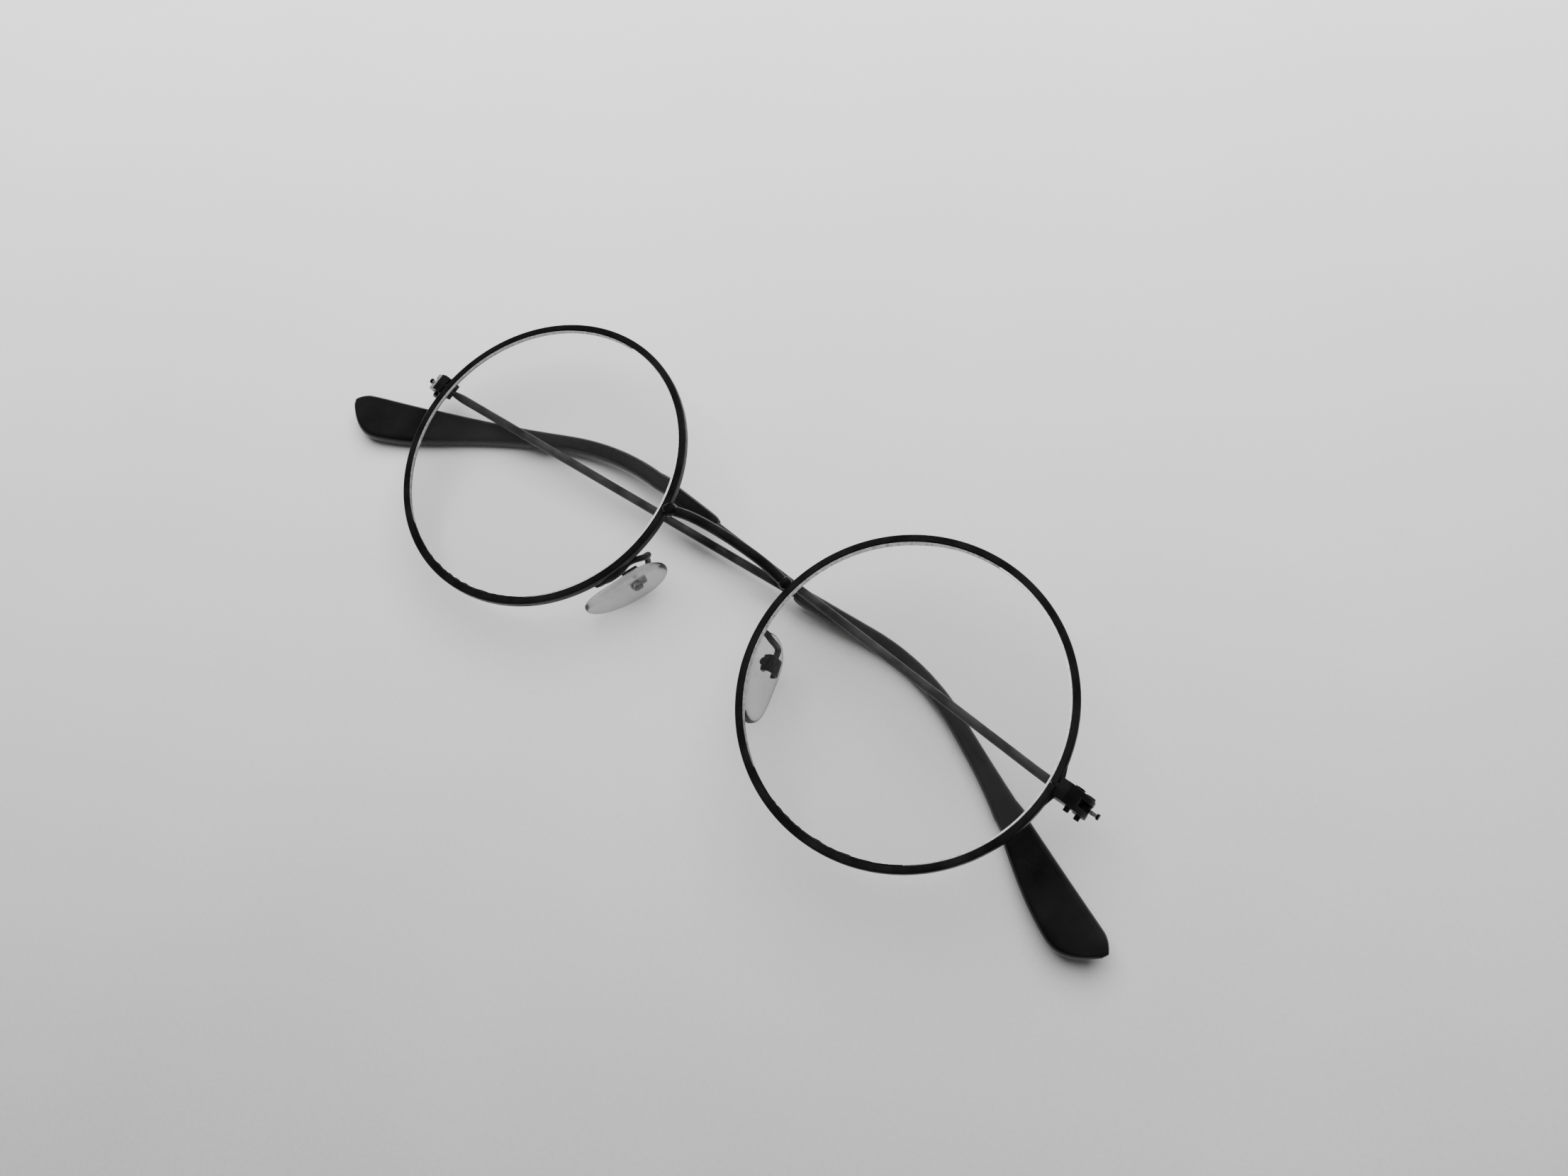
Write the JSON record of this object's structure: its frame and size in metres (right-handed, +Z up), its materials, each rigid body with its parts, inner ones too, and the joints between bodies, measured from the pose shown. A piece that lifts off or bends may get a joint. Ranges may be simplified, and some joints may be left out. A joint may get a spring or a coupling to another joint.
{
  "type": "eyeglasses",
  "caption": "Round wire eyeglasses lying folded, front up, with clear lenses, an arched bridge, clear nose pads and bent plastic-sleeved temples.",
  "frame": {"origin": "Centre of the bottom of the box around the folded glasses, on the surface they lie on.", "axes": "+X across the front towards the hinge of the right temple, +Y up the front as it is worn, +Z up off the surface, out through the fronts of the lenses."},
  "size_m": [0.1488, 0.0468, 0.0185],
  "materials": {
    "black_enamel": "black enamel over wire, satin to glossy",
    "dark_screw": "dark plated metal",
    "bright_pin": "bare steel, worn bright",
    "tip_plastic": "glossy black",
    "clear_lens": "clear and polished",
    "clear_pad": "clear, slightly cloudy"
  },
  "bodies": {
    "front": {"bridge": "black_enamel", "left_rim": "black_enamel", "left_lens": "clear_lens", "left_endpiece": "black_enamel", "left_rim_lock_lower": "black_enamel", "left_rim_lock_upper": "black_enamel", "left_rim_lock_screw": "dark_screw", "left_hinge_lobe_lower": "black_enamel", "left_hinge_lobe_upper": "black_enamel", "left_hinge_screw": "dark_screw", "left_pad_arm": "black_enamel", "left_pad_box": "dark_screw", "left_pad_screw": "dark_screw", "right_rim": "black_enamel", "right_lens": "clear_lens", "right_endpiece": "black_enamel", "right_rim_lock_lower": "black_enamel", "right_rim_lock_upper": "black_enamel", "right_rim_lock_screw": "dark_screw", "right_hinge_lobe_lower": "black_enamel", "right_hinge_lobe_upper": "black_enamel", "right_hinge_screw": "dark_screw", "right_pad_arm": "black_enamel", "right_pad_box": "dark_screw", "right_pad_screw": "dark_screw"},
    "left_temple": {"left_temple_knuckle": "black_enamel", "left_stop_pin": "bright_pin", "left_temple_wire": "black_enamel", "left_temple_tip": "tip_plastic"},
    "right_temple": {"right_temple_knuckle": "black_enamel", "right_stop_pin": "bright_pin", "right_temple_wire": "black_enamel", "right_temple_tip": "tip_plastic"},
    "left_nose_pad_body": {"left_nose_pad": "clear_pad"},
    "right_nose_pad_body": {"right_nose_pad": "clear_pad"}
  },
  "joints": [
    {"name": "left_temple_hinge", "type": "hinge", "parent": "front", "child": "left_temple", "pos_m": [-0.06162, 0.00214, 0.0052], "axis": [-0.0069, 0.9914, 0.1307], "range_deg": [0, 84.2], "deforming": ["right_temple_tip"]},
    {"name": "right_temple_hinge", "type": "hinge", "parent": "front", "child": "right_temple", "pos_m": [0.0618, 0.00214, 0.01175], "axis": [0.0069, -0.9914, -0.1307], "range_deg": [0, 86.7], "deforming": ["left_temple_wire", "left_temple_tip"]},
    {"name": "left_nose_pad_rock", "type": "hinge", "parent": "front", "child": "left_nose_pad_body", "pos_m": [-0.0132, -0.00537, 0.00424], "axis": [0.1048, 0.1307, -0.9859], "range_deg": [-8, 8]},
    {"name": "right_nose_pad_rock", "type": "hinge", "parent": "front", "child": "right_nose_pad_body", "pos_m": [0.0136, -0.00498, 0.00568], "axis": [0.4542, 0.1196, -0.8828], "range_deg": [-8, 8]}
  ]
}
